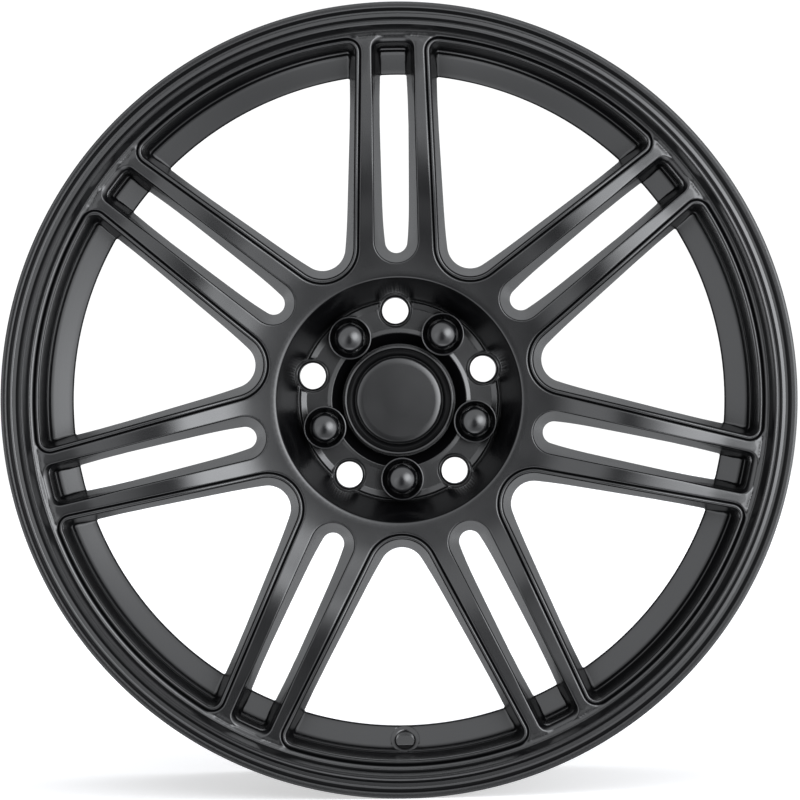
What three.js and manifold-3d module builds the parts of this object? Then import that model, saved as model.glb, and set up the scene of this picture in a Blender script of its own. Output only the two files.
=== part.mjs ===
// Forged monoblock racing wheel, 18 x 8.5 inches, with its centre cap, hub-centring ring and lug nuts.
// Millimetres. The wheel spins about the Y axis, its street side faces -Y and +Z is up. The origin is the
// centre of the hub mounting face. Every revolved profile is a list of [radius, y] corners.
import * as THREE from 'three';
import { mergeVertices } from 'three/addons/utils/BufferGeometryUtils.js';
import Module from 'manifold-3d';

const wasm = await Module();
wasm.setup();

// ---- Driving dimensions ----
const GAP = 0.3; // between pieces that touch
const RIM_SEGMENTS = 56; // 8 for each pair of spokes
const HUB_SEGMENTS = 36;
const NUT_SEGMENTS = 18;
const LUG_HOLE_SEGMENTS = 12;
const VALVE_HOLE_SEGMENTS = 16;

const RIM_RADIUS = 248.5; // outside of both flanges
const SEAT_RADIUS = 231; // bead seats: an 18 inch rim
const LIP_Y = -86; // foremost plane of the street-side lip
const INBOARD_Y = 156; // rear plane of the inboard flange
const OUTER_SEAT_Y = LIP_Y + 13; // tyre side of the street-side flange
const INNER_SEAT_Y = INBOARD_Y - 13; // tyre side of the inboard flange: 216 mm, 8.5 inches, further back

const SPOKE_PAIRS = 7;
const HALF_PITCH = Math.PI / SPOKE_PAIRS; // from a pair of spokes to the middle of the next window
const WINDOW_DRAFT = Math.tan(THREE.MathUtils.degToRad(8)); // taper of window walls, per millimetre of depth
const WINDOW_LEAN = HALF_PITCH + THREE.MathUtils.degToRad(1.3); // each pair of spokes widens towards the hub
const SPOKE_HALF_WIDTH = 27.7; // of a pair of spokes, in the lip plane, carried in to the wheel's axis
const WINDOW_HUB_END = 85.4; // inner end of a window, in the lip plane
const SLOT_HALF_WIDTH = 14.8; // of the slot in a pair of spokes, in the lip plane
const SLOT_DRAFT = Math.tan(THREE.MathUtils.degToRad(9.1));
const SLOT_HUB_END = 83.8;
const THROAT_RADIUS = 205.5; // smallest inside radius of the barrel, just behind the spokes

const WELL_RADIUS = 76.7; // mouth of the round well around the bolt pad
const PAD_Y = -28; // bolt pad, where the nuts bear
const PAD_OUTER = 62.8;
const PAD_INNER = 42.6;
const MOAT_Y = -20; // bottom of the tapered ring around the centre cap
const CAP_BORE_RADIUS = 32.3;
const CENTRE_BORE_RADIUS = 36.55; // 73.1 mm bore
const BORE_SHOULDER_Y = -10.3; // between the cap's bore and the centre bore
const HUB_PAD_RADIUS = 76; // mounting face

const LUG_COUNT = 5;
const LUG_TURN = 1.4; // degrees that the bolt circles are turned from the spokes
const NUT_CIRCLE_RADIUS = 50; // 5 x 100 mm, fitted with nuts
const SPARE_CIRCLE_RADIUS = 57.15; // 5 x 114.3 mm, empty
const LUG_HOLE_RADIUS = 8.3;
const LUG_SEAT_RADIUS = 11.2; // mouth of the 60 degree seat

const VALVE_RADIUS = 214.5; // where the valve hole's axis meets the barrel's front wall
const VALVE_Y = -49.7;
const VALVE_TILT = THREE.MathUtils.degToRad(27.8); // of its axis, outwards from the wheel's axis
const VALVE_HOLE_RADIUS = 5.75;
const VALVE_SPOT_RADIUS = 9.1;

const NUT_HEX_RADIUS = 17 / Math.sqrt(3); // corners of a 17 mm hexagon
const NUT_NECK_RADIUS = 8.3;
const STUD_BORE_RADIUS = 5.4; // M12 thread, at its crests
const COLLAR_RADIUS = 13.5;

const HUB_RING_BORE_RADIUS = 28.05; // 56.1 mm hub spigot

// ---- Solids ----
const satinBlack = { color: 0x2a2b2e, roughness: 0.45, metalness: 0.35 };
const materials = {
  forging: satinBlack,
  cap: { color: 0x1d1e20, roughness: 0.4, metalness: 0.1 },
  badge: { color: 0x3a3b3e, roughness: 0.5, metalness: 0.3 },
  spring: { color: 0x8a8d90, roughness: 0.35, metalness: 0.9 },
  hubRing: { color: 0xb4b6b8, roughness: 0.4, metalness: 0.85 },
  collar: { color: 0x35363a, roughness: 0.4, metalness: 0.6 },
  nut: { color: 0x46474b, roughness: 0.3, metalness: 0.75 },
};

function toSolid(geometry) {
  const bare = geometry.clone();
  bare.deleteAttribute('normal');
  bare.deleteAttribute('uv');
  const merged = mergeVertices(bare, 1e-3);
  const index = merged.index.array;
  const triangles = [];
  for (let i = 0; i < index.length; i += 3) {
    const [a, b, c] = index.slice(i, i + 3);
    if (a !== b && b !== c && c !== a) triangles.push(a, b, c);
  }
  const vertProperties = new Float32Array(merged.attributes.position.array);
  const asTriangles = (list) =>
    new wasm.Manifold(new wasm.Mesh({ numProp: 3, vertProperties, triVerts: new Uint32Array(list) }));
  const solid = asTriangles(triangles);
  return solid.volume() > 0 ? solid : asTriangles(triangles.reverse());
}

function toGeometry(solid) {
  const mesh = solid.getMesh();
  const geometry = new THREE.BufferGeometry();
  geometry.setAttribute('position', new THREE.BufferAttribute(new Float32Array(mesh.vertProperties), 3));
  geometry.setIndex(new THREE.BufferAttribute(new Uint32Array(mesh.triVerts), 1));
  geometry.computeVertexNormals();
  return geometry;
}

// A solid of revolution about Y. A profile that keeps off the axis is a closed ring.
function revolve(profile, segments) {
  const points = profile.map(([radius, y]) => new THREE.Vector2(radius, y));
  const onAxis = profile[0][0] === 0 && profile.at(-1)[0] === 0;
  if (!onAxis) points.push(points[0].clone());
  return new THREE.LatheGeometry(points, segments);
}

// A solid through outlines of equal length, one outline of [x, z] points at each y.
function loft(levels) {
  const count = levels[0].outline.length;
  const positions = levels.flatMap(({ y, outline }) => outline.flatMap(([x, z]) => [x, y, z]));
  const index = [];
  for (let level = 0; level + 1 < levels.length; level++) {
    for (let i = 0; i < count; i++) {
      const next = (i + 1) % count;
      const [a, b] = [level * count + i, level * count + next];
      index.push(a, b, b + count, a, b + count, a + count);
    }
  }
  const lids = [[levels[0], 0, false], [levels.at(-1), (levels.length - 1) * count, true]];
  for (const [{ outline }, first, turned] of lids) {
    const flat = outline.map(([x, z]) => new THREE.Vector2(x, z));
    for (const [a, b, c] of THREE.ShapeUtils.triangulateShape(flat, [])) {
      index.push(first + (turned ? a : c), first + b, first + (turned ? c : a));
    }
  }
  const geometry = new THREE.BufferGeometry();
  geometry.setAttribute('position', new THREE.Float32BufferAttribute(positions, 3));
  geometry.setIndex(index);
  return geometry;
}

// Turns a solid about Y to a clock angle: degrees anticlockwise from +X, seen from the street side.
function turned(solid, clockAngle) {
  return solid.rotate([0, 90 - clockAngle, 0]);
}

function joined(solids) {
  return solids.reduce((whole, piece) => whole.add(piece));
}

function arc(cx, cz, radius, from, to, steps) {
  return Array.from({ length: steps + 1 }, (_, i) => {
    const angle = from + ((to - from) * i) / steps;
    return [cx + radius * Math.cos(angle), cz + radius * Math.sin(angle)];
  });
}

// Outline of an opening centred on +Z: a round hub end, two straight walls that lean outwards by `lean`,
// rounded corners and an outer arc about the wheel's centre. `reach` is the walls' distance from the axis.
function openingOutline({ lean, reach, hubEnd, outer, corner, outerSteps }) {
  const sin = Math.sin(lean);
  const cos = Math.cos(lean);
  const hubCentre = (hubEnd + reach) / (1 - sin);
  const hubRadius = reach + hubCentre * sin;
  const inset = reach - corner;
  const along = Math.sqrt((outer - corner) ** 2 - inset ** 2);
  const [cx, cz] = [inset * cos + along * sin, along * cos - inset * sin];
  const bearing = Math.atan2(cz, cx);
  return [
    ...arc(0, hubCentre, hubRadius, -Math.PI + lean, -lean, 6),
    ...arc(cx, cz, corner, -lean, bearing, 2),
    ...arc(0, 0, outer, bearing, Math.PI - bearing, outerSteps).slice(1, -1),
    ...arc(-cx, cz, corner, Math.PI - bearing, Math.PI + lean, 2),
  ];
}

// ---- Wheel ----
// Outer wall of every opening: it falls from the lip in a hollow, steps to the barrel's steep front wall, and
// ends at the throat. Each entry is [y, radius, corner radius].
const POCKET_WALL = [
  [-92, 230.5, 7.5],
  [-78.4, 227.4, 7.5],
  [-66, 221.8, 6.5],
  [-52, 218.8, 6],
  [-45, THROAT_RADIUS, 4],
  [-4, THROAT_RADIUS + 0.1, 1.5],
];

function openingCutter({ lean, outerSteps, reachAt, hubEndAt }) {
  const levels = POCKET_WALL.map(([y, outer, corner]) => {
    const depth = y - LIP_Y;
    const shape = { lean, outerSteps, outer, corner, reach: reachAt(depth), hubEnd: hubEndAt(depth) };
    return { y, outline: openingOutline(shape) };
  });
  return toSolid(loft(levels));
}

function openings() {
  const window = openingCutter({
    lean: WINDOW_LEAN,
    outerSteps: 6,
    reachAt: (depth) => -(SPOKE_HALF_WIDTH + WINDOW_DRAFT * depth),
    hubEndAt: (depth) => WINDOW_HUB_END + WINDOW_DRAFT * depth,
  });
  const slot = openingCutter({
    lean: 0,
    outerSteps: 2,
    reachAt: (depth) => SLOT_HALF_WIDTH - SLOT_DRAFT * depth,
    hubEndAt: (depth) => SLOT_HUB_END + SLOT_DRAFT * depth,
  });
  const pitch = 360 / SPOKE_PAIRS;
  return joined(
    Array.from({ length: SPOKE_PAIRS }, (_, k) => [
      turned(slot, 90 + k * pitch),
      turned(window, 90 + (k + 0.5) * pitch),
    ]).flat(),
  );
}

function blankProfile() {
  const streetFace = [
    [RIM_RADIUS, LIP_Y + 1.5],
    [RIM_RADIUS - 1.5, LIP_Y],
    [244.6, LIP_Y],
    [243.2, -83.2],
    [239.6, -83.6],
    [238.2, -80.9],
    [234.7, -81.3],
    [233.3, -78.9],
    [229.6, -78.8],
    [228, -77.8],
    [205.5, -78.5],
    [190, -80.3],
    [172, -82.2],
    [153, -82.9],
    [138, -81.6],
    [125, -79],
    [100, -73.4],
    [88, -71.3],
    [WELL_RADIUS + 1.6, -70.2],
    [WELL_RADIUS, -68.6],
    [PAD_OUTER + 1.8, PAD_Y - 3],
    [PAD_OUTER, PAD_Y + 1.4],
    [PAD_OUTER - 3.6, PAD_Y],
    [PAD_INNER, PAD_Y],
    [PAD_INNER - 1.7, PAD_Y + 1.4],
    [36, MOAT_Y],
    [CAP_BORE_RADIUS, MOAT_Y],
    [CAP_BORE_RADIUS, BORE_SHOULDER_Y],
    [CENTRE_BORE_RADIUS, BORE_SHOULDER_Y],
    [CENTRE_BORE_RADIUS, -1.2],
    [CENTRE_BORE_RADIUS + 1.2, 0],
  ];
  const spokeBacks = [
    [HUB_PAD_RADIUS, 0],
    [81, -10],
    [94, -29],
    [120, -46],
    [150, -54],
    [180, -56],
    [196, -54],
    [203, -49],
    [THROAT_RADIUS + 0.3, -43],
  ];
  const barrelInside = [
    [209.8, 14],
    [220, 44],
    [221.5, 112],
    [223.5, 138],
    [229, 150],
    [238, INBOARD_Y],
  ];
  const tyreSide = [
    [RIM_RADIUS - 1.5, INBOARD_Y],
    [RIM_RADIUS, INBOARD_Y - 1.5],
    [RIM_RADIUS, INNER_SEAT_Y + 4],
    [SEAT_RADIUS + 6, INNER_SEAT_Y + 0.5],
    [SEAT_RADIUS + 0.4, INNER_SEAT_Y - 6],
    [SEAT_RADIUS - 1.2, INNER_SEAT_Y - 20],
    [226.5, 114],
    [225, 42],
    [215.4, 14],
    [211.5, -36],
    [212.5, -41.6],
    [221.6, -46.7],
    [SEAT_RADIUS - 1, OUTER_SEAT_Y + 21],
    [SEAT_RADIUS + 0.4, OUTER_SEAT_Y + 6],
    [SEAT_RADIUS + 6, OUTER_SEAT_Y - 0.5],
    [RIM_RADIUS, OUTER_SEAT_Y - 4],
  ];
  return [...streetFace, ...spokeBacks, ...barrelInside, ...tyreSide];
}

// A lug hole: 60 degree seat and clearance hole, with room for the nut in front of the seat.
function lugHole() {
  const profile = [
    [0, PAD_Y - 30],
    [LUG_SEAT_RADIUS, PAD_Y - 30],
    [LUG_SEAT_RADIUS, PAD_Y + 0.1],
    [LUG_HOLE_RADIUS, PAD_Y + 5.1],
    [LUG_HOLE_RADIUS, 4],
    [0, 4],
  ];
  return toSolid(revolve(profile, LUG_HOLE_SEGMENTS));
}

function lugHoles() {
  const hole = lugHole();
  return joined(
    [NUT_CIRCLE_RADIUS, SPARE_CIRCLE_RADIUS].flatMap((radius) =>
      lugAngles(radius).map((angle) => turned(hole.translate([0, 0, radius]), angle)),
    ),
  );
}

// Clock angles of the holes on one bolt circle. The two circles alternate.
function lugAngles(radius) {
  const first = radius === NUT_CIRCLE_RADIUS ? 54 : 18;
  return Array.from({ length: LUG_COUNT }, (_, k) => first + LUG_TURN + (k * 360) / LUG_COUNT);
}

function valveHole() {
  const profile = [
    [0, -14],
    [VALVE_SPOT_RADIUS, -14],
    [VALVE_SPOT_RADIUS, 0.6],
    [VALVE_HOLE_RADIUS, 0.6],
    [VALVE_HOLE_RADIUS, 14],
    [0, 14],
  ];
  const tilt = THREE.MathUtils.radToDeg(-VALVE_TILT);
  const hole = toSolid(revolve(profile, VALVE_HOLE_SEGMENTS));
  return hole.rotate([tilt, 0, 0]).translate([0, VALVE_Y, -VALVE_RADIUS]);
}

function wheelForging() {
  const blank = toSolid(revolve(blankProfile(), RIM_SEGMENTS));
  return blank.subtract(openings()).subtract(lugHoles()).subtract(valveHole());
}

// ---- Centre cap, its badge and spring, and the hub ring ----
function centreCap() {
  const profile = [
    [34.6, MOAT_Y - GAP],
    [34.6, -35.3],
    [33.9, -36.2],
    [33.3, -36],
    [28.9, -28.2],
    [28.1, -28.2],
    [28.1, -26.6],
    [0, -26.6],
    [0, -24.4],
    [29.9, -24.4],
    [29.9, -12.7],
    [28.6, -12.2],
    [28.6, -11],
    [31.9, -11],
    [31.9, MOAT_Y - GAP],
  ];
  return toSolid(revolve(profile, HUB_SEGMENTS));
}

function capBadge() {
  const profile = [[0, -26.9], [27.7, -26.9], [27.7, -28.7], [26.9, -29.5], [24.2, -30.1], [0, -30.4]];
  return toSolid(revolve(profile, HUB_SEGMENTS));
}

function capSpringRing() {
  const wire = 0.85;
  const profile = arc(28.5, -14.2, wire, 0, (Math.PI * 10) / 6, 5);
  return toSolid(revolve(profile, HUB_SEGMENTS));
}

function hubRing() {
  const outer = CENTRE_BORE_RADIUS - GAP;
  const profile = [
    [HUB_RING_BORE_RADIUS, -9.8],
    [outer, -9.8],
    [outer, -1.4],
    [outer + 0.3, -0.9],
    [HUB_RING_BORE_RADIUS + 1.2, -0.9],
    [HUB_RING_BORE_RADIUS, -2.1],
  ];
  return toSolid(revolve(profile, HUB_SEGMENTS));
}

// ---- Lug nuts: each turns in a free-spinning collar, held there by a snap ring ----
// Profiles below are in [radius, distance in front of the bolt pad], placed by atPad.
function atPad(profile) {
  return profile.map(([radius, ahead]) => [radius, PAD_Y - ahead]);
}

function nutCollar() {
  const profile = [
    [6.6, -4.4],
    [7.75, -4.4],
    [10.5, 0.35],
    [12.4, 0.35],
    [COLLAR_RADIUS, 3],
    [COLLAR_RADIUS, 16.9],
    [12.9, 17.5],
    [12.3, 16.9],
    [12.3, 6],
    [8.65, 6],
    [8.65, 4.7],
    [9.5, 4.7],
    [9.5, 2.9],
    [8.65, 2.9],
    [8.65, 1.4],
    [6.6, 1.4],
  ];
  return toSolid(revolve(atPad(profile), NUT_SEGMENTS));
}

function lugNut() {
  const neck = [
    [0, 1.7],
    [NUT_NECK_RADIUS, 1.7],
    [NUT_NECK_RADIUS, 2.9],
    [7.3, 2.9],
    [7.3, 4.7],
    [NUT_NECK_RADIUS, 4.7],
    [NUT_NECK_RADIUS, 22],
    [6.9, 25],
    [4.2, 27.4],
    [0, 28.4],
  ];
  const bore = [[0, 0], [STUD_BORE_RADIUS, 0], [STUD_BORE_RADIUS, 19], [0, 21]];
  const hexTop = [[0, 6.4], [11, 6.4], [11, 11.4], [8.2, 14.2], [0, 14.2]];
  const hexLength = 16;
  const hexBar = new THREE.CylinderGeometry(NUT_HEX_RADIUS, NUT_HEX_RADIUS, hexLength, 6);
  hexBar.translate(0, PAD_Y - 6.4 - hexLength / 2, 0);
  const hexagon = toSolid(hexBar).intersect(toSolid(revolve(atPad(hexTop), NUT_SEGMENTS)));
  const body = toSolid(revolve(atPad(neck), NUT_SEGMENTS)).add(hexagon);
  return body.subtract(toSolid(revolve(atPad(bore), LUG_HOLE_SEGMENTS)));
}

function nutClip() {
  const profile = [[7.65, 3.2], [9.1, 3.2], [9.1, 4.4], [7.65, 4.4]];
  return toSolid(revolve(atPad(profile), NUT_SEGMENTS));
}

// ---- The assembly ----
const group = new THREE.Group();

function addPiece(name, solid, look) {
  const mesh = new THREE.Mesh(toGeometry(solid), new THREE.MeshStandardMaterial(look));
  mesh.name = name;
  group.add(mesh);
  return mesh;
}

addPiece('wheel_forging', wheelForging(), materials.forging);
addPiece('centre_cap', centreCap(), materials.cap);
addPiece('cap_badge', capBadge(), materials.badge);
addPiece('cap_spring_ring', capSpringRing(), materials.spring);
addPiece('hub_ring', hubRing(), materials.hubRing);

const nutPieces = [
  ['nut_collar', nutCollar(), materials.collar],
  ['lug_nut', lugNut(), materials.nut],
  ['nut_clip', nutClip(), materials.spring],
];
lugAngles(NUT_CIRCLE_RADIUS).forEach((angle, k) => {
  const clock = THREE.MathUtils.degToRad(angle);
  for (const [name, solid, look] of nutPieces) {
    const piece = addPiece(`${name}_${k + 1}`, solid, look);
    piece.position.set(NUT_CIRCLE_RADIUS * Math.cos(clock), 0, NUT_CIRCLE_RADIUS * Math.sin(clock));
    piece.rotation.y = Math.PI / 2 - clock;
  }
});

export default group;
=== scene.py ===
"""Looks of a forged racing wheel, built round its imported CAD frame.

Shapes are worked out in millimetres and become metres when a mesh is made. The wheel spins about Y, its
street side faces -Y and +Z is up. A profile is a list of (radius, y) corners, with a third number where the
corner is rounded. A clock angle is in degrees anticlockwise from +X, seen from the street side.
"""
import math

import bmesh
import bpy
import numpy as np
from mathutils import Matrix, Vector
from mathutils.geometry import delaunay_2d_cdt


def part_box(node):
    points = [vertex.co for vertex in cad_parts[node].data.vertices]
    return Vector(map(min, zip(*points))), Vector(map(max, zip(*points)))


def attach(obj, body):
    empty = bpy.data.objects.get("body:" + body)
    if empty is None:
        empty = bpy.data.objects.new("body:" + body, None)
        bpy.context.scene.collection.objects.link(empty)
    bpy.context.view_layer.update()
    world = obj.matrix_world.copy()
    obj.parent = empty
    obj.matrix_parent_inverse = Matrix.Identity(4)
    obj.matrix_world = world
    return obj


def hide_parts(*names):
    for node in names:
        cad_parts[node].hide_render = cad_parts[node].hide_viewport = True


MM = 0.001
SHARP_ANGLE = 32  # degrees between faces, above which an edge stays sharp

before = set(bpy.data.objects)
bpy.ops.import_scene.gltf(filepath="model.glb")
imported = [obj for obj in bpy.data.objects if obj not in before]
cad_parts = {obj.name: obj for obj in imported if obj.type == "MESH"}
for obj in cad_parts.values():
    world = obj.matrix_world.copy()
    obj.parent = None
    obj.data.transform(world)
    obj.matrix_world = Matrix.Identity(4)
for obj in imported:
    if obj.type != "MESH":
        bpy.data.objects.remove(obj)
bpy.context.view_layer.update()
wheel_low, wheel_high = (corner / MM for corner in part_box("wheel_forging"))

# ---- Driving dimensions ----
RIM = wheel_high.x  # outside radius of both flanges
LIP = wheel_low.y  # foremost plane of the street-side lip
INBOARD = wheel_high.y  # rear plane of the inboard flange

PAIRS = 7  # pairs of spokes
PITCH = 360 / PAIRS
RIM_STEPS = 60 * PAIRS  # round the rim
HUB_STEPS = 36 * PAIRS  # round the hub
FACE_GRID = 3.4  # spacing of points on the spokes' flat faces

FACE_INNER = 79.0  # where the front of the spokes meets the rounded mouth of the hub well
FACE_OUTER = 230.6  # where it meets the lip
RIM_GROOVE = 228.35  # narrow groove round the outer ends of the spokes
BACK_INNER = 82.0
BACK_OUTER = 206.3
THROAT = 205.6  # smallest inside radius of the barrel

WINDOW_WIDENING = 1.65  # degrees by which each side of a pair of spokes spreads towards the hub
WINDOW_REACH = -26.89  # the groove along a window's side, from the wheel's axis
WINDOW_HUB_END = 84.5
WINDOW_OUTER = 227.9
WINDOW_CORNER = 8.0
WINDOW_DRAFT = math.tan(math.radians(8))
SLOT_LEAN = -0.5  # degrees: it widens a little towards the hub
SLOT_REACH = 15.2
SLOT_HUB_END = 85.3
SLOT_DRAFT = math.tan(math.radians(9.2))

WELL = 76.7  # mouth of the well round the bolt pad
PAD_Y = -28.0
LUG_TURN = 1.4  # degrees that the bolt circles are turned from the spokes
NUT_CIRCLE = 50.0
SPARE_CIRCLE = 57.15
LUG_HOLE = 8.4
LUG_SEAT = 11.2
NUT_ANGLES = [54 + LUG_TURN + 72 * k for k in range(5)]
SPARE_ANGLES = [18 + LUG_TURN + 72 * k for k in range(5)]
HEX_FLAT = 8.5  # half the 17 mm across the nuts' flats
HEX_CORNER = 9.6  # its corners are turned off

VALVE_RADIUS = 214.0
VALVE_Y = -49.2
VALVE_TILT = 27.8  # degrees


# ---- Curves and profiles ----
def from_slopes(slopes, anchor, step=0.1):
    """y as a function of radius: its slope runs straight between (radius, slope) points.

    It passes the anchor.
    """
    radii, values = np.array(slopes).T
    dense = np.arange(radii[0], radii[-1] + step, step)
    slope = np.interp(dense, radii, values)
    height = np.concatenate([[0], np.cumsum((slope[1:] + slope[:-1]) / 2 * step)])
    height += anchor[1] - np.interp(anchor[0], dense, height)
    return lambda radius: np.interp(radius, dense, height)


def rounded(corners, turn=18):
    """Points along a profile, with an arc for each corner that has a third number, its radius.

    The arc has a point for every turn degrees or less.
    """
    flat = [np.array(corner[:2], float) for corner in corners]
    points = []
    for i, corner in enumerate(corners):
        if len(corner) < 3:
            points.append(flat[i])
            continue
        before = flat[i - 1] - flat[i]
        after = flat[(i + 1) % len(flat)] - flat[i]
        before /= np.linalg.norm(before)
        after /= np.linalg.norm(after)
        half = math.acos(np.clip(before @ after, -1, 1)) / 2
        middle = before + after
        centre = flat[i] + middle / np.linalg.norm(middle) * corner[2] / math.sin(half)
        first = flat[i] + before * corner[2] / math.tan(half) - centre
        last = flat[i] + after * corner[2] / math.tan(half) - centre
        start = math.atan2(first[1], first[0])
        sweep = (math.atan2(last[1], last[0]) - start + math.pi) % (2 * math.pi) - math.pi
        steps = max(2, math.ceil(abs(math.degrees(sweep)) / turn))
        for angle in start + np.linspace(0, sweep, steps + 1):
            points.append(centre + corner[2] * np.array([math.cos(angle), math.sin(angle)]))
    return np.array(points)


def at_clock(xz, clock):
    """Turns (x, z) points, whose z runs outwards, to a clock angle."""
    sin, cos = math.sin(math.radians(clock)), math.cos(math.radians(clock))
    return np.column_stack([xz[:, 0] * sin + xz[:, 1] * cos, xz[:, 1] * sin - xz[:, 0] * cos])


def on_circle(radius, clock):
    """A place in metres on a circle about the axis."""
    angle = math.radians(clock)
    return radius * math.cos(angle) * MM, 0, radius * math.sin(angle) * MM


# Front of the spokes: nearly flat by the lip, a soft crease, a low arch and a fall to the hub.
FRONT_SLOPES = [
    (78, -0.02), (92, -0.05), (104, -0.14), (114, -0.225), (124, -0.24), (131, -0.19), (137, -0.13),
    (145, -0.06), (153, 0), (160, 0.03), (170, 0.075), (180, 0.11), (190, 0.132), (199, 0.125),
    (202, 0.115), (206, 0.045), (212, 0.03), (224.9, 0.03), (226.5, 0.25), (RIM_GROOVE - 0.5, 0.6),
    (RIM_GROOVE - 0.1, 0.7), (RIM_GROOVE + 0.1, -0.7), (229.6, -0.45), (230.3, 0), (231, 0),
]
# Extra rings of points that resolve the roll-off at the spokes' ends and the groove round them.
RIM_GROOVE_RINGS = (225.3, 226.4, 227.2, 227.85, RIM_GROOVE, 228.85, 229.5, 230.05)
# Back of the spokes: a steep fall from the hub, nearly flat, and a rise to the barrel.
BACK_SLOPES = [
    (80, -2.1), (87, -1.6), (97, -0.95), (110, -0.62), (125, -0.4), (150, -0.15), (175, -0.02), (190, 0.1),
    (197, 0.4), (202, 1.0), (207, 2.8),
]
FRONT_CREST = (153, -82.9)
BACK_POINT = (150, -54)
front = from_slopes(FRONT_SLOPES, FRONT_CREST)
back = from_slopes(BACK_SLOPES, BACK_POINT)
# The deepest that the openings' draft is reckoned to: the back, without its last rise to the barrel.
core = from_slopes([row for row in BACK_SLOPES if row[0] < 190] + [(197, 0.3), (230, 0.3)], BACK_POINT)


def inside(points, outline):
    """Which points lie inside a closed outline."""
    ends = np.roll(outline, -1, axis=0)
    x, z = points[:, :1], points[:, 1:]
    crosses = (outline[:, 1] > z) != (ends[:, 1] > z)
    rise = np.where(ends[:, 1] == outline[:, 1], 1, ends[:, 1] - outline[:, 1])
    right = x < outline[:, 0] + (ends[:, 0] - outline[:, 0]) * (z - outline[:, 1]) / rise
    return (crosses & right).sum(1) % 2 == 1


# ---- Meshes ----
class Surface:
    """Points and faces of one mesh."""

    def __init__(self):
        self.points = []
        self.faces = []

    def add(self, points):
        start = len(self.points)
        self.points.extend(map(tuple, points))
        return np.arange(start, len(self.points))

    def skin(self, rings):
        """Joins closed rings of equal length, one after another."""
        for one, two in zip(rings, rings[1:]):
            for i in range(len(one)):
                j = (i + 1) % len(one)
                self.faces.append((one[i], one[j], two[j], two[i]))

    def fan(self, ring, tip):
        for i in range(len(ring)):
            self.faces.append((ring[i], ring[(i + 1) % len(ring)], tip))

    def lathe(self, profile, steps, outline=None):
        """Turns a profile about Y and returns its rings, kept within the outline's radii if it's given."""
        rings = [self.add(circle(radius, y, steps, outline)) for radius, y in profile]
        self.skin(rings)
        return rings

    def solid(self, profile, steps, outline=None):
        """Turns a profile that starts and ends on the axis."""
        rings = self.lathe(profile[1:-1], steps, outline)
        for ring, (_, y) in ((rings[0], profile[0]), (rings[-1], profile[-1])):
            self.fan(ring, self.add([(0, y, 0)])[0])

    def sheet(self, border, holes, spare, height):
        """Fills the plan inside the border and round the holes, by way of the spare (x, z) points."""
        plan = []
        ids = []
        edges = []
        for loop in (border, *holes):
            start = len(plan)
            plan += [Vector((self.points[i][0], self.points[i][2])) for i in loop]
            ids += list(loop)
            edges += [(start + i, start + (i + 1) % len(loop)) for i in range(len(loop))]
        level = height(np.hypot(spare[:, 0], spare[:, 1]))
        ids += list(self.add(np.column_stack([spare[:, 0], level, spare[:, 1]])))
        plan += [Vector(point) for point in spare]
        inside_border = 1
        merge_distance = 1e-7
        points, _, faces, origins, _, _ = delaunay_2d_cdt(plan, edges, [], inside_border, merge_distance)
        faces = np.array(faces)
        centres = np.array([tuple(point) for point in points])[faces].mean(1)
        kept = np.ones(len(faces), bool)
        for hole in holes:
            outline = np.array([(self.points[i][0], self.points[i][2]) for i in hole])
            kept &= ~inside(centres, outline)
        names = [ids[origin[0]] for origin in origins]
        self.faces += [tuple(names[i] for i in face) for face in faces[kept]]

    def piece(self, name):
        """The finished mesh as an object, in metres."""
        mesh = bpy.data.meshes.new(name)
        mesh.from_pydata([tuple(c * MM for c in point) for point in self.points], [], self.faces)
        draft = bmesh.new()
        draft.from_mesh(mesh)
        bmesh.ops.delete(draft, geom=[v for v in draft.verts if not v.link_faces], context="VERTS")
        bmesh.ops.recalc_face_normals(draft, faces=draft.faces)
        if draft.calc_volume(signed=True) < 0:
            bmesh.ops.reverse_faces(draft, faces=draft.faces)
        draft.to_mesh(mesh)
        draft.free()
        made = bpy.data.objects.new(name, mesh)
        bpy.context.scene.collection.objects.link(made)
        soften(made)
        return made


def soften(piece):
    """Smooth shading in which large flats stay flat beside small roundings."""
    piece.data.shade_smooth()
    piece.data.set_sharp_from_angle(angle=math.radians(SHARP_ANGLE))
    weighted = piece.modifiers.new("flats", "WEIGHTED_NORMAL")
    weighted.keep_sharp = True
    bpy.context.view_layer.objects.active = piece
    bpy.ops.object.modifier_apply(modifier=weighted.name)


def circle(radius, y, steps, outline=None):
    angles = np.arange(steps) * 2 * math.pi / steps
    reach = radius if outline is None else np.minimum(radius, outline)
    return np.column_stack([reach * np.cos(angles), np.full(steps, y), reach * np.sin(angles)])


def ring_body(name, profile, steps=96):
    """A closed ring, turned from a profile that keeps off the axis."""
    surface = Surface()
    rings = surface.lathe(profile, steps)
    surface.skin([rings[-1], rings[0]])
    return surface.piece(name)


def turned_body(name, profile, steps=96):
    """A solid whose profile starts and ends on the axis."""
    surface = Surface()
    surface.solid(profile, steps)
    return surface.piece(name)


def cut(piece, cutters):
    """Takes the cutters out of a piece for good."""
    for cutter in cutters:
        hole = piece.modifiers.new("hole", "BOOLEAN")
        hole.operation = "DIFFERENCE"
        hole.solver = "MANIFOLD"
        hole.object = cutter
    mesh = bpy.data.meshes.new_from_object(piece.evaluated_get(bpy.context.evaluated_depsgraph_get()))
    piece.modifiers.clear()
    piece.data = mesh
    for cutter in cutters:
        bpy.data.objects.remove(cutter)
    soften(piece)


def fit(piece, body, node):
    """Puts a finished piece in a CAD node's place."""
    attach(piece, body)
    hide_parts(node)


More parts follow.
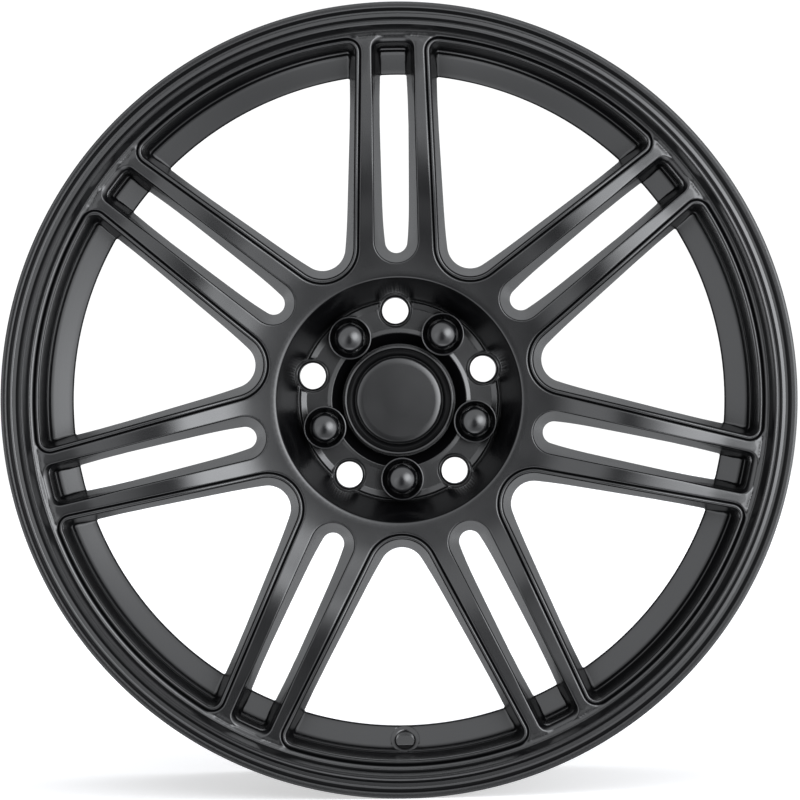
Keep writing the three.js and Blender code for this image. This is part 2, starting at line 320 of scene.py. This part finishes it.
# ---- Openings between the spokes ----
class Opening:
    """Nested outlines with a round hub end, two straight sides, rounded corners and an arc about the axis.

    Offset 0 is the outline that the sizes describe. A positive offset lies further into the opening.
    """

    def __init__(self, lean, reach, hub_end, steps):
        self.lean = math.radians(lean)
        self.reach = reach
        self.hub_end = hub_end
        hub, side, corner, outer = steps
        counts = [(0, hub, False), (1, side, False), (2, corner, False), (3, outer, True)]
        kind = np.concatenate([np.full(n + last, k) for k, n, last in counts])
        share = np.concatenate([np.linspace(0, 1, n + last, endpoint=last) for _, n, last in counts])
        mirror = slice(-2, 0, -1)
        self.kind = np.concatenate([kind, kind[mirror]])
        self.share = np.concatenate([share, share[mirror]])
        self.side = np.where(np.arange(len(self.kind)) < len(kind), 1, -1)
        near_rim = np.clip((self.share - 0.7) / 0.25, 0, 1)
        near_rim = near_rim * near_rim * (3 - 2 * near_rim)
        self.at_rim = np.select([self.kind == 0, self.kind == 1], [0, near_rim], 1)

    def outline(self, offset, outer, corner):
        """(x, z) points. Each argument is one number or one for each point."""
        sin, cos = math.sin(self.lean), math.cos(self.lean)
        reach = self.reach - offset
        hub_end = self.hub_end + offset
        hub_centre = (hub_end + reach) / (1 - sin)
        hub_radius = reach + hub_centre * sin
        inset = reach - corner
        along = np.sqrt((outer - corner) ** 2 - inset**2)
        cx, cz = inset * cos + along * sin, along * cos - inset * sin
        bearing = np.arctan2(cz, cx)
        t = self.share
        hub = -math.pi / 2 + t * (math.pi / 2 - self.lean)
        bend = -self.lean + t * (bearing + self.lean)
        sweep = bearing + t * (math.pi / 2 - bearing)
        from_x, from_z = hub_radius * cos, hub_centre - hub_radius * sin
        to_x, to_z = cx + corner * cos, cz - corner * sin
        kinds = [self.kind == k for k in range(4)]
        x = np.select(kinds, [
            hub_radius * np.cos(hub), from_x + t * (to_x - from_x),
            cx + corner * np.cos(bend), outer * np.cos(sweep),
        ])
        z = np.select(kinds, [
            hub_centre + hub_radius * np.sin(hub), from_z + t * (to_z - from_z),
            cz + corner * np.sin(bend), outer * np.sin(sweep),
        ])
        return np.column_stack([x * self.side, z])

    def edge_level(self, offset, drop, outer, rim_drop, corner):
        """A level at a given drop below the front of the spokes."""
        xz = self.outline(offset, outer, corner)
        fall = drop + (rim_drop - drop) * self.at_rim
        return xz, front(np.hypot(xz[:, 0], xz[:, 1])) + fall

    def wall_level(self, wall, share, outer, rim_y, corner, flare=0.0):
        """A level on the drafted wall, a share of the way from its top to the spokes' back.

        By the rim it lies at rim_y instead. flare opens it out, for a rounded edge.
        """
        top_offset, top_drop, draft = wall
        offset = np.full(len(self.kind), float(top_offset))
        for _ in range(5):
            xz = self.outline(offset, outer, corner)
            radius = np.hypot(xz[:, 0], xz[:, 1])
            top = front(radius) + top_drop
            level = top + share * (back(radius) - top)
            y = level + (rim_y - level) * self.at_rim
            offset = top_offset + draft * (np.minimum(y, core(radius)) - top) - flare * (1 - self.at_rim)
        return xz, y


# Shape of a window's edge across its side: (offset, drop) from the spoke's flat front, over a narrow groove
# and a rounded bead, to the top of the wall.
WINDOW_EDGE = [
    (-2.6, 0), (-1.9, 0), (-1.4, 0.02), (-1.0, 0.16), (-0.72, 0.6), (-0.48, 1.3), (-0.25, 1.75),
    (-0.02, 1.3), (0.2, 0.75), (0.45, 0.42), (0.85, 0.22), (1.3, 0.18), (1.75, 0.27), (2.15, 0.52),
    (2.5, 0.95), (2.75, 1.5), (2.9, 2.3),
]
# The wall, from its top to the spokes' back: (share of its height, radius of the outer end, its y, corner
# radius). The outer end falls steeply, turns on a small ledge, drops a step and runs down the barrel's front
# wall.
WINDOW_WALL = [
    (0.05, 224.3, -72.0, 4.6), (0.11, 223.6, -67.5, 4.2), (0.18, 223.0, -62.5, 3.6),
    (0.26, 222.5, -58.2, 3.0), (0.32, 222.2, -56.4, 2.6), (0.36, 221.7, -55.5, 2.5),
    (0.40, 221.0, -55.2, 2.4), (0.43, 220.5, -54.8, 2.3), (0.47, 220.2, -53.9, 2.2),
    (0.51, 219.9, -52.6, 2.1), (0.55, 219.4, -51.8, 2.0), (0.62, 217.5, -50.8, 1.8),
    (0.74, 213.5, -48.9, 1.6), (0.86, 209.0, -46.8, 1.4), (0.93, 206.8, -45.8, 1.3),
]
# The same for a slot, whose outer end is a broad cove: (offset, drop, outer end's radius, its drop, corner
# radius).
SLOT_EDGE = [
    (-0.9, 0, 228.9, 0, 8.0), (-0.3, 0, 228.3, 0.06, 7.8), (0, 0.02, 227.6, 0.4, 7.6),
    (0.25, 0.12, 226.6, 1.0, 7.3), (0.5, 0.32, 225.5, 1.8, 7.0), (0.7, 0.6, 224.6, 2.6, 6.6),
    (0.82, 1.0, 223.9, 3.5, 6.2), (0.9, 1.6, 223.4, 4.9, 5.8),
]
SLOT_WALL = [
    (0.06, 223.0, -70.0, 5.2), (0.13, 222.6, -66.0, 4.8), (0.20, 222.6, -61.5, 3.6),
    (0.26, 222.4, -58.2, 2.8), (0.32, 222.1, -56.4, 2.2), (0.36, 221.7, -55.5, 2.0),
    (0.40, 221.0, -55.2, 1.8), (0.43, 220.5, -54.8, 1.7), (0.47, 220.2, -53.9, 1.6),
    (0.51, 219.9, -52.6, 1.5), (0.55, 219.4, -51.8, 1.4), (0.62, 217.5, -50.8, 1.2),
    (0.74, 213.5, -48.9, 1.1), (0.86, 209.0, -46.8, 1.0), (0.93, 206.8, -45.8, 1.0),
]
# The last levels of both, rounded into the back: (share, outer radius, y, flare). No y means on the back.
THROAT_EDGE = [(0.965, 206.0, -45.2, 0.0), (0.99, THROAT, -44.6, 0.3), (1.0, THROAT, None, 1.0)]


def window_levels():
    """The window and its (xz, y) levels, from front to back."""
    window = Opening(PITCH / 2 + WINDOW_WIDENING, WINDOW_REACH, WINDOW_HUB_END, (12, 40, 7, 30))
    levels = []
    for offset, drop in WINDOW_EDGE:
        levels.append(window.edge_level(offset, drop, WINDOW_OUTER - offset, drop, WINDOW_CORNER - offset))
    wall = (*WINDOW_EDGE[-1], WINDOW_DRAFT)
    return window, levels + wall_levels(window, wall, WINDOW_WALL, 1.2)


def slot_levels():
    slot = Opening(SLOT_LEAN, SLOT_REACH, SLOT_HUB_END, (16, 40, 9, 6))
    levels = [slot.edge_level(*level) for level in SLOT_EDGE]
    wall = (*SLOT_EDGE[-1][:2], SLOT_DRAFT)
    return slot, levels + wall_levels(slot, wall, SLOT_WALL, 1.0)


def wall_levels(opening, wall, table, corner):
    levels = [opening.wall_level(wall, *row) for row in table]
    for share, outer, rim_y, flare in THROAT_EDGE:
        y = back(outer) if rim_y is None else rim_y
        levels.append(opening.wall_level(wall, share, outer, y, corner, flare))
    return levels


def sector_grid(inner, outer, fine, outlines):
    """(x, z) points in seven equal sectors, on even and on fine rings, clear of the outlines."""
    rings = []
    even = np.arange(inner + FACE_GRID * 0.7, outer - 2 * FACE_GRID, FACE_GRID)
    spacing = [(radius, FACE_GRID) for radius in even] + [(radius, FACE_GRID / 2) for radius in fine]
    sector = math.radians(PITCH)
    for number, (radius, gap) in enumerate(spacing):
        count = round(radius * sector / gap)
        stagger = number % 2 / 2
        angles = math.radians(90) - sector / 2 + (np.arange(count) + stagger) * sector / count
        rings.append(np.column_stack([radius * np.cos(angles), radius * np.sin(angles)]))
    points = np.concatenate(rings)
    for outline in outlines:
        points = points[~inside(points, outline) & ~near(points, outline, FACE_GRID * 0.25)]
    turns = [at_clock(points, 90 + k * PITCH) for k in range(PAIRS)]
    return np.concatenate(turns)


def near(points, outline, margin):
    """Which points lie within the margin of an outline."""
    along = np.roll(outline, -1, axis=0) - outline
    to_point = points[:, None, :] - outline[None]
    share = np.clip((to_point * along).sum(2) / (along**2).sum(1), 0, 1)
    return np.linalg.norm(to_point - share[:, :, None] * along, axis=2).min(1) < margin


# ---- Wheel ----
def rim_profile():
    """From beside the spokes, over the stepped lip and the tyre side, and back through the barrel."""
    lip = [
        (FACE_OUTER, front(FACE_OUTER)), (231.4, front(FACE_OUTER) - 0.05, 0.5), (232.1, -79.4, 0.5),
        (234.5, LIP + 1.9, 0.3), (235.4, LIP + 1.25, 0.3), (236.4, LIP + 1.3, 0.4), (237.4, LIP + 1.9, 0.3),
        (239.2, LIP + 4.0, 0.7), (241.5, LIP + 4.5, 1.2), (242.8, LIP + 3.8, 0.6), (244.7, LIP + 0.5, 0.3),
        (245.5, LIP + 0.02, 0.3), (247.0, LIP, 0.8), (248.1, LIP + 0.35, 0.4), (RIM, LIP + 1.4, 0.4),
        (RIM, LIP + 9, 1.0), (239.5, -73.8, 3.5), (232.4, -72.2, 3.0), (231.0, -62.0, 4.0),
    ]
    tyre_side = [
        (229.6, -52.5, 2.5), (221.9, -47.2, 4.0), (213.2, -42.4, 3.5), (211.8, -36, 8), (215.2, 14, 20),
        (224.8, 42, 12), (226.2, 112, 10), (229.2, 119.5, 2.0), (229.9, 123.5, 1.5), (231.4, 136.5, 2.0),
        (237.5, 143.2, 2.5), (RIM, 145.8, 1.0), (RIM, INBOARD, 1.5),
    ]
    barrel = [
        (237.6, INBOARD, 3.0), (229.6, 150.6, 4.0), (223.6, 139, 6.0), (221.3, 112, 20), (219.8, 44, 20),
        (209.8, 14, 20), (BACK_OUTER + 0.5, -38, 4), (BACK_OUTER, back(BACK_OUTER)),
    ]
    return rounded(lip + tyre_side + barrel)


def hub_profile():
    """From the front of the spokes, down the well, over the pad and through the bore to the spokes' back."""
    return rounded([
        (FACE_INNER, front(FACE_INNER)),
        (WELL, front(FACE_INNER) + 0.25, 1.6), (65.2, PAD_Y - 8, 4), (63.9, PAD_Y + 1.6, 0.5),
        (62.9, PAD_Y - 0.6, 0.5), (62.2, PAD_Y - 0.95, 0.6), (58.9, PAD_Y, 3.0), (45.4, PAD_Y, 2.0),
        (42.9, PAD_Y - 0.55, 0.8), (42.1, PAD_Y, 0.5),
        (40.9, PAD_Y + 1.8, 1.0), (36, -20, 0.5), (32.3, -20, 0.3), (32.3, -10.3, 0.2), (36.55, -10.3, 0.2),
        (36.55, -1.2), (37.75, 0, 0.2), (75.2, 0, 0.8), (76.4, -1.6, 2.0), (BACK_INNER, back(BACK_INNER)),
    ])


def lug_cutter(radius, clock):
    """A lug hole with its 60 degree seat, on a bolt circle."""
    profile = rounded([
        (0, PAD_Y - 42), (LUG_SEAT, PAD_Y - 42), (LUG_SEAT, PAD_Y + 0.02), (LUG_SEAT - 0.6, PAD_Y + 0.2),
        (LUG_SEAT - 1.0, PAD_Y + 0.5), (LUG_SEAT - 1.2, PAD_Y + 1.0), (9.5, PAD_Y + 3.6),
        (LUG_HOLE + 0.15, PAD_Y + 4.7), (LUG_HOLE, PAD_Y + 5.2), (LUG_HOLE, -0.7), (LUG_HOLE + 0.9, 0.2),
        (LUG_HOLE + 0.9, 3), (0, 3),
    ])
    cutter = turned_body("lug_cutter", profile, 72)
    cutter.location = on_circle(radius, clock)
    return cutter


def valve_cutter():
    """Hole and spot face for the valve, square to the barrel's front wall."""
    profile = rounded([
        (0, -12), (9.1, -12), (9.1, 0.3, 0.25), (7.0, 0.3), (6.2, 0.9), (5.8, 1.4), (5.8, 14), (0, 14),
    ])
    cutter = turned_body("valve_cutter", profile, 64)
    cutter.rotation_euler = (math.radians(-VALVE_TILT), 0, 0)
    cutter.location = (0, VALVE_Y * MM, -VALVE_RADIUS * MM)
    return cutter


def wheel():
    """The forging: openings, rim and hub as rings, filled between on the front and back, then drilled."""
    surface = Surface()
    edges = {"front": [], "back": []}
    outlines = {"front": [], "back": []}
    for (opening, levels), turn in ((slot_levels(), 0), (window_levels(), 0.5)):
        for k in range(PAIRS):
            rings = []
            for xz, y in levels:
                x, z = at_clock(xz, 90 + (k + turn) * PITCH).T
                rings.append(surface.add(np.column_stack([x, y, z])))
            surface.skin(rings)
            edges["front"].append(rings[0])
            edges["back"].append(rings[-1])
        for side, level in (("front", levels[0][0]), ("back", levels[-1][0])):
            clocks = [90] if turn == 0 else [90 - PITCH / 2, 90 + PITCH / 2]
            outlines[side] += [at_clock(level, clock) for clock in clocks]

    rings = surface.lathe(rim_profile(), RIM_STEPS)
    hub_rings = surface.lathe(hub_profile(), HUB_STEPS)
    for side, inner, outer, fine, height, hub, rim in (
        ("front", FACE_INNER, FACE_OUTER, RIM_GROOVE_RINGS, front, hub_rings[0], rings[0]),
        ("back", BACK_INNER, BACK_OUTER, (), back, hub_rings[-1], rings[-1]),
    ):
        surface.sheet(rim, [hub, *edges[side]], sector_grid(inner, outer, fine, outlines[side]), height)
    made = surface.piece("wheel_rim")
    holes = [lug_cutter(NUT_CIRCLE, clock) for clock in NUT_ANGLES]
    holes += [lug_cutter(SPARE_CIRCLE, clock) for clock in SPARE_ANGLES]
    bpy.context.view_layer.update()
    cut(made, [*holes, valve_cutter()])
    fit(made, "wheel", "wheel_forging")
    return made


wheel_piece = wheel()


# ---- Centre cap and hub ring ----
def centre_cap():
    """A ring that falls steeply inwards to a blank badge, on a skirt that fills the bore."""
    cap = turned_body("cap_body", rounded([
        (0, -26.6), (28.1, -26.6, 0.2), (28.4, -27.2, 0.2), (32.6, -30.6, 1.0), (33.15, -35.75, 0.15),
        (33.9, -36.15, 0.5), (34.6, -35.85, 0.25), (34.6, -20.3, 0.3), (31.9, -20.3, 0.3), (31.9, -11, 0.4),
        (28.6, -11, 0.3), (28.6, -12.2, 0.2), (29.9, -12.7, 0.2), (29.9, -24.4, 1.2), (0, -24.4),
    ]), 144)
    badge = turned_body("cap_disc", rounded([
        (0, -30.4), (23.8, -30.3, 20), (26.4, -30.0, 2.5), (27.35, -29.3, 0.5), (27.7, -28.4, 0.4),
        (27.7, -26.9, 0.2), (0, -26.9),
    ], 6), 144)
    ring = ring_body("hub_centring_ring", rounded([
        (28.05, -9.8, 0.3), (36.25, -9.8, 0.4), (36.25, -1.4), (36.55, -0.9), (29.25, -0.9),
        (28.05, -2.1, 0.2),
    ]), 144)
    fit(cap, "cap", "centre_cap")
    fit(badge, "cap", "cap_badge")
    fit(ring, "wheel", "hub_ring")
    return cap, badge, ring


# ---- Lug nuts ----
def ahead(profile):
    """A profile given as radius and distance ahead of the bolt pad."""
    return [(radius, PAD_Y - distance, *corner) for radius, distance, *corner in profile]


def lug_nut(number, clock):
    """A closed nut: hexagon at the foot, round neck and domed end, with a groove for its collar's clip."""
    levels = rounded(ahead([
        (0, 20.6), (5.4, 19, 0.3), (5.4, 2.6), (6.4, 1.7, 0.2), (8.3, 1.7, 0.3), (8.3, 2.9),
        (7.3, 2.9, 0.15), (7.3, 4.7, 0.15), (8.3, 4.7), (8.3, 6.4), (10.2, 6.5, 0.2), (10.2, 12.0, 0.3),
        (8.4, 14.0, 0.5), (8.2, 14.6), (8.2, 25.4, 0.6), (7.6, 26.55, 0.8), (6.4, 27.25), (5.0, 27.7),
        (3.4, 28.08), (1.7, 28.32), (0, 28.4),
    ]), 7)
    steps = 96
    angles = np.arange(steps) * 2 * math.pi / steps
    from_flat = (angles + math.pi / 6) % (math.pi / 3) - math.pi / 6
    surface = Surface()
    surface.solid(levels, steps, np.minimum(HEX_FLAT / np.cos(from_flat), HEX_CORNER))
    nut = surface.piece(f"nut_{number}_hexagon")
    collar = ring_body(f"nut_{number}_collar", rounded(ahead([
        (6.6, -4.4, 0.2), (7.75, -4.4, 0.2), (10.4, 0.2, 0.3), (10.8, 1.3, 0.2), (12.6, 1.3, 0.4),
        (13.5, 3, 1.2), (13.5, 17.15, 0.15), (12.95, 17.32, 0.4), (12.45, 17.12, 0.15), (12.1, 16.2, 0.5),
        (9.9, 6, 0.3), (8.65, 6, 0.2), (8.65, 4.7), (9.5, 4.7), (9.5, 2.9), (8.65, 2.9), (8.65, 1.4, 0.2),
        (6.6, 1.4, 0.2),
    ])), 96)
    clip = ring_body(f"nut_{number}_snap_ring", rounded(ahead([
        (7.65, 3.2, 0.25), (9.1, 3.2, 0.25), (9.1, 4.4, 0.25), (7.65, 4.4, 0.25),
    ])), 72)
    for piece in (nut, collar, clip):
        piece.location = on_circle(NUT_CIRCLE, clock)
    fit(nut, f"nut_{number}", f"lug_nut_{number}")
    fit(collar, f"collar_{number}", f"nut_collar_{number}")
    fit(clip, f"collar_{number}", f"nut_clip_{number}")
    return nut, collar, clip


cap_piece, badge_piece, hub_ring_piece = centre_cap()
nut_sets = [lug_nut(number, clock) for number, clock in enumerate(NUT_ANGLES, 1)]


# ---- Materials ----
GLOSS_VARIATION = 0.04
CLOUD_SCALE = 35  # of the broad variation in gloss, per metre


def paint(name, color, roughness, metallic=0.0, grain=900, bump=0.04):
    """A satin coating: fine grain in its surface and a little variation in its gloss."""
    material = bpy.data.materials.new(name)
    material.use_nodes = True
    nodes, links = material.node_tree.nodes, material.node_tree.links
    shader = nodes["Principled BSDF"]
    shader.inputs["Base Color"].default_value = (*color, 1)
    shader.inputs["Metallic"].default_value = metallic
    place = nodes.new("ShaderNodeTexCoord")
    fine = nodes.new("ShaderNodeTexNoise")
    fine.inputs["Scale"].default_value = grain
    fine.inputs["Detail"].default_value = 3
    links.new(place.outputs["Object"], fine.inputs["Vector"])
    relief = nodes.new("ShaderNodeBump")
    relief.inputs["Strength"].default_value = bump
    relief.inputs["Distance"].default_value = 0.0002
    links.new(fine.outputs["Fac"], relief.inputs["Height"])
    links.new(relief.outputs["Normal"], shader.inputs["Normal"])
    gloss = nodes.new("ShaderNodeMapRange")
    gloss.inputs["To Min"].default_value = roughness - GLOSS_VARIATION
    gloss.inputs["To Max"].default_value = roughness + GLOSS_VARIATION
    broad = nodes.new("ShaderNodeTexNoise")
    broad.inputs["Scale"].default_value = CLOUD_SCALE
    links.new(place.outputs["Object"], broad.inputs["Vector"])
    links.new(broad.outputs["Fac"], gloss.inputs["Value"])
    links.new(gloss.outputs["Result"], shader.inputs["Roughness"])
    return material


def coat(piece, material):
    piece.data.materials.clear()
    piece.data.materials.append(material)


satin_black = paint("satin_black", (0.002, 0.002, 0.0023), 0.23, bump=0.008)
cap_black = paint("cap_black", (0.002, 0.002, 0.0022), 0.2, grain=1500, bump=0.02)
nut_black = paint("nut_black", (0.004, 0.004, 0.0045), 0.19, grain=1200, bump=0.03)
spring_steel = paint("spring_steel", (0.42, 0.42, 0.43), 0.3, metallic=1.0, grain=2500, bump=0.05)
turned_alloy = paint("turned_alloy", (0.6, 0.61, 0.62), 0.34, metallic=1.0, grain=2200, bump=0.08)
coat(wheel_piece, satin_black)
coat(cap_piece, cap_black)
coat(badge_piece, satin_black)
coat(hub_ring_piece, turned_alloy)
coat(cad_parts["cap_spring_ring"], spring_steel)
for nut, collar, clip in nut_sets:
    coat(nut, nut_black)
    coat(collar, nut_black)
    coat(clip, spring_steel)


# ---- Floor, light and camera ----
AMBIENT = 2.4  # radiance of the studio's walls
DARKEST = 0.06  # however much shade falls on them
FLOOR_RADIUS = 12
SURROUND_RADIUS = 14
FLOOR_GLOW = 0.55
EYE_DISTANCE = 2.8  # from the lip
HALF_VIEW = 0.24919  # half of what the view takes in at the lip
HALF_SENSOR = 18
EYE_SHIFT = 0.0006
EYE_ROLL = -1.03  # degrees
# Soft patches of light or shade on the studio's walls: (clock angle, degrees off the street axis, degrees
# from its middle where it starts to fade, and where it has faded, radiance).
PATCHES = [
    # Shade behind the camera, and over the walls behind the wheel
    (0, 0, 4, 14, -1.5), (240, 12, 2, 20, -1.7), (272, 32, 8, 36, -1.2), (90, 12, 2, 14, -0.7),
    (0, 180, 105, 130, -2.34), (0, 180, 30, 55, 0.34),
    # The key light, and fainter patches in front of the wheel
    (22, 20, 5, 19, 6.2), (5, 31, 7, 24, 3.2), (325, 22, 4, 16, 0.8), (350, 60, 10, 34, 1.2),
    (205, 22, 5, 20, 0.8), (268, 68, 8, 28, 2.2),
    # Light behind the wheel, which reaches the walls of its openings
    (40, 114, 14, 36, 1.2), (90, 125, 8, 28, 1.4), (340, 133, 8, 24, 2.0), (200, 133, 8, 24, 2.0),
]


def hidden_from_light(piece):
    """Leaves a piece for the camera alone to see."""
    for kind in ("diffuse", "glossy", "transmission", "volume_scatter", "shadow"):
        setattr(piece, f"visible_{kind}", False)


def white_stage():
    """A pale floor under the wheel and a white surround, both out of the wheel's own reflections."""
    bpy.ops.mesh.primitive_circle_add(vertices=96, radius=FLOOR_RADIUS, fill_type="NGON")
    floor = bpy.context.object
    floor.name = "floor"
    floor.location.z = wheel_low.z * MM
    pale = bpy.data.materials.new("pale_floor")
    pale.use_nodes = True
    shader = pale.node_tree.nodes["Principled BSDF"]
    shader.inputs["Base Color"].default_value = (0.8, 0.8, 0.81, 1)
    shader.inputs["Roughness"].default_value = 0.9
    shader.inputs["Specular IOR Level"].default_value = 0.0
    shader.inputs["Emission Color"].default_value = (1, 1, 1, 1)
    shader.inputs["Emission Strength"].default_value = FLOOR_GLOW
    coat(floor, pale)
    bpy.ops.mesh.primitive_ico_sphere_add(subdivisions=4, radius=SURROUND_RADIUS)
    surround = bpy.context.object
    surround.name = "surround"
    white = bpy.data.materials.new("white_surround")
    white.use_nodes = True
    glow = white.node_tree.nodes["Principled BSDF"]
    glow.inputs["Base Color"].default_value = (0, 0, 0, 1)
    glow.inputs["Emission Color"].default_value = (1, 1, 1, 1)
    glow.inputs["Emission Strength"].default_value = 1.0
    coat(surround, white)
    hidden_from_light(floor)
    hidden_from_light(surround)


def lighting():
    """Walls of one brightness, with patches of light and shade on them.

    The key light is ahead of the wheel, to the right of the view. The space behind the camera is dim, and
    most of the studio behind the wheel is nearly dark.
    """
    world = bpy.data.worlds.new("studio")
    world.use_nodes = True
    nodes, links = world.node_tree.nodes, world.node_tree.links
    direction = nodes.new("ShaderNodeTexCoord").outputs["Generated"]
    total = None
    for clock, off_axis, near_edge, far_edge, radiance in PATCHES:
        away, around = math.radians(off_axis), math.radians(clock)
        aim = nodes.new("ShaderNodeVectorMath")
        aim.operation = "DOT_PRODUCT"
        aim.inputs[1].default_value = (
            math.sin(away) * math.cos(around), -math.cos(away), math.sin(away) * math.sin(around),
        )
        links.new(direction, aim.inputs[0])
        patch = nodes.new("ShaderNodeMapRange")
        patch.interpolation_type = "SMOOTHSTEP"
        patch.inputs["From Min"].default_value = math.cos(math.radians(far_edge))
        patch.inputs["From Max"].default_value = math.cos(math.radians(near_edge))
        patch.inputs["To Max"].default_value = radiance
        links.new(aim.outputs["Value"], patch.inputs["Value"])
        add = nodes.new("ShaderNodeMath")
        add.inputs[1].default_value = AMBIENT
        links.new(patch.outputs["Result"], add.inputs[0])
        if total:
            links.new(total, add.inputs[1])
        total = add.outputs["Value"]
    least = nodes.new("ShaderNodeMath")
    least.operation = "MAXIMUM"
    least.inputs[1].default_value = DARKEST
    links.new(total, least.inputs[0])
    background = nodes["Background"]
    background.inputs["Color"].default_value = (0.95, 0.97, 1.0, 1)
    links.new(least.outputs["Value"], background.inputs["Strength"])
    bpy.context.scene.world = world


def camera():
    """Almost on the wheel's axis, far off and turned a little."""
    data = bpy.data.cameras.new("camera")
    data.sensor_width = 2 * HALF_SENSOR
    data.lens = HALF_SENSOR * EYE_DISTANCE / HALF_VIEW
    data.clip_end = 60
    eye = bpy.data.objects.new("camera", data)
    eye.location = (EYE_SHIFT, LIP * MM - EYE_DISTANCE, 0)
    level = Matrix.Rotation(math.radians(90), 3, "X")
    eye.rotation_euler = (level @ Matrix.Rotation(math.radians(EYE_ROLL), 3, "Z")).to_euler()
    bpy.context.scene.collection.objects.link(eye)
    bpy.context.scene.camera = eye


white_stage()
lighting()
camera()
bpy.context.scene.view_settings.view_transform = "Standard"
